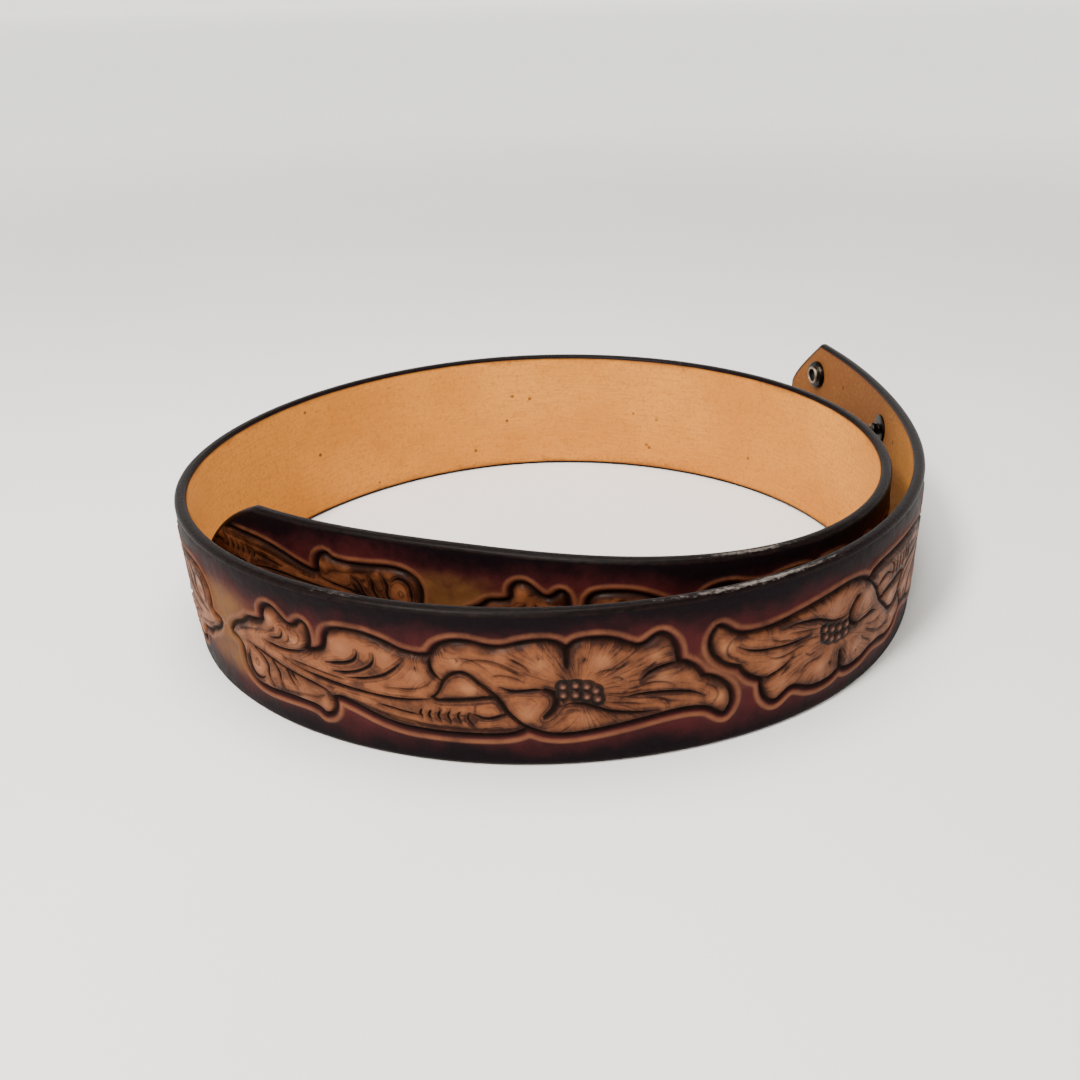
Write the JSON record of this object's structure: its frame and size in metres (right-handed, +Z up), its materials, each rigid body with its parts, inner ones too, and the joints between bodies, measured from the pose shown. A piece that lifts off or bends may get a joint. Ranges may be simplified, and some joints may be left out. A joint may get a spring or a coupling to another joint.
{
  "type": "western tooled belt",
  "caption": "Wide leather belt strap with tooled flower pattern, pointed tip and a buckle tab that closes with two snaps, standing on edge in a loose coil.",
  "frame": {"origin": "middle of the coil's box, on the plane that the lower edge stands on", "axes": "+Z up, +X to the right as the picture sees it, +Y away from the camera; the free tab points to +Y on the +X side"},
  "size_m": [0.2258, 0.212, 0.0444],
  "materials": {
    "tooled_leather": "tooled vegetable-tanned leather, natural brown figures on a dark mahogany ground, tan flesh side, burnished edges",
    "snap_metal": "antiqued dark metal, worn bright on the rims"
  },
  "bodies": {
    "root": {"strap": "tooled_leather", "snap_cap_upper": "snap_metal", "snap_cap_lower": "snap_metal", "snap_socket_upper": "snap_metal", "snap_socket_lower": "snap_metal", "snap_stud_upper": "snap_metal", "snap_stud_lower": "snap_metal", "snap_eyelet_upper": "snap_metal", "snap_eyelet_lower": "snap_metal"}
  },
  "joints": []
}
